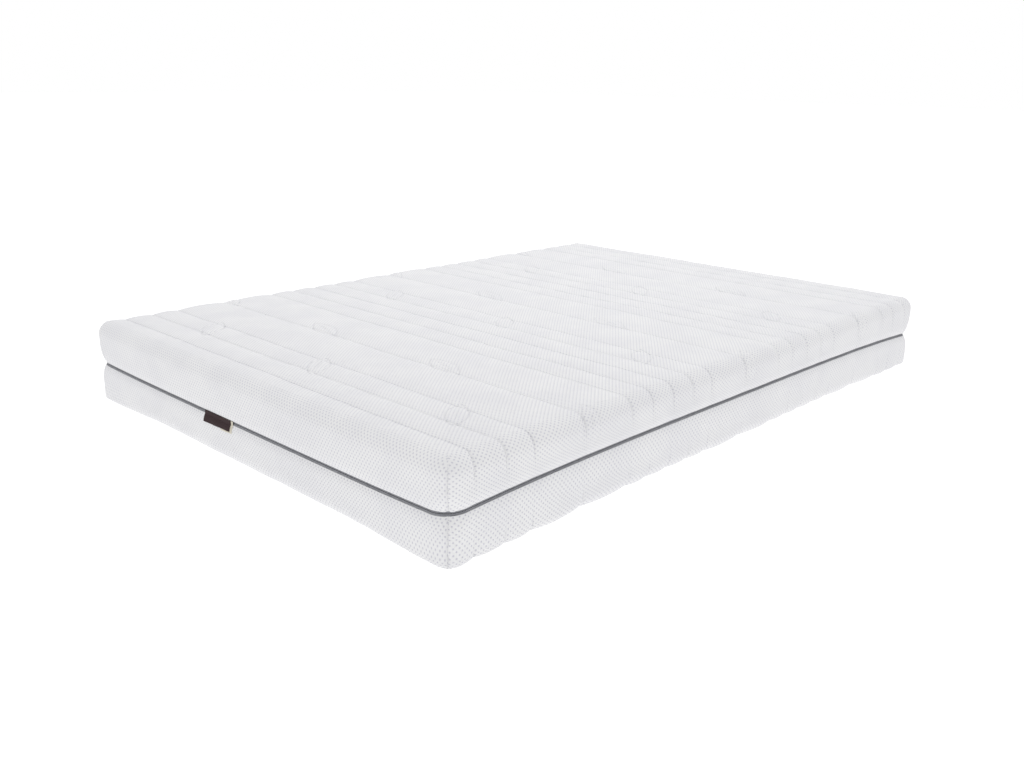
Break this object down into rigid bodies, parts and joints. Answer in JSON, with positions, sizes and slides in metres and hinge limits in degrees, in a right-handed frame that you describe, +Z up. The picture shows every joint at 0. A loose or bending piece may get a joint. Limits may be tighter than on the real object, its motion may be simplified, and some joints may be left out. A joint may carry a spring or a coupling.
{
  "type": "foam mattress",
  "caption": "Foam mattress in a quilted white cover whose two halves are joined all round by a grey zip, with layered foam inside.",
  "frame": {"origin": "middle of the underside, on the bed base", "axes": "+X along the length from the foot end, which has the label, to the head end; +Y across the width; +Z up to the sleeping surface"},
  "size_m": [2.0002, 1.4, 0.215],
  "materials": {
    "knit": "matt double-jersey knit",
    "wadding": "bonded polyester wadding",
    "lining": "non-woven lining",
    "thread": "spun sewing thread",
    "zip_tape": "woven polyester tape",
    "zip_plastic": "moulded nylon",
    "zip_metal": "die-cast and painted",
    "woven_label": "woven satin label",
    "care_label": "printed nylon tape, left plain",
    "sleeve": "thin circular knit",
    "memory_foam": "open-cell viscoelastic foam",
    "comfort_foam": "open-cell foam",
    "support_core": "open-cell foam"
  },
  "bodies": {
    "cover_bottom": {"cover_bottom_knit": "knit", "cover_bottom_wadding": "wadding", "cover_bottom_lining": "lining", "corner_seam_bottom_foot_left": "thread", "corner_seam_bottom_foot_right": "thread", "corner_seam_bottom_head_left": "thread", "corner_seam_bottom_head_right": "thread", "zip_tape_bottom": "zip_tape", "zip_coil_bottom": "zip_plastic", "zip_stop_bottom": "zip_metal", "zip_retainer_box": "zip_plastic"},
    "core": {"support_core": "support_core", "comfort_foam": "comfort_foam", "memory_foam": "memory_foam", "core_sleeve": "sleeve"},
    "cover_top": {"cover_top_knit": "knit", "cover_top_wadding": "wadding", "cover_top_lining": "lining", "corner_seam_top_foot_left": "thread", "corner_seam_top_foot_right": "thread", "corner_seam_top_head_left": "thread", "corner_seam_top_head_right": "thread", "zip_tape_top": "zip_tape", "zip_coil_top": "zip_plastic", "zip_stop_top": "zip_metal", "zip_insertion_pin": "zip_plastic", "woven_label": "woven_label", "care_label": "care_label"},
    "zip_slider": {"zip_slider": "zip_metal"},
    "zip_pull": {"zip_pull_tab": "zip_metal"}
  },
  "joints": [
    {"name": "core_lift", "type": "slide", "parent": "cover_bottom", "child": "core", "axis": [0, 0, 1], "range_m": [0, 0.26]},
    {"name": "cover_top_lift", "type": "slide", "parent": "core", "child": "cover_top", "axis": [0, 0, 1], "range_m": [0, 0.26]},
    {"name": "zip_slide", "type": "slide", "parent": "cover_bottom", "child": "zip_slider", "axis": [-1, 0, 0], "range_m": [0, 1.75]},
    {"name": "zip_pull_swing", "type": "hinge", "parent": "zip_slider", "child": "zip_pull", "pos_m": [0.868, 0.695, 0.104], "axis": [0, 0, -1], "range_deg": [0, 175]}
  ]
}
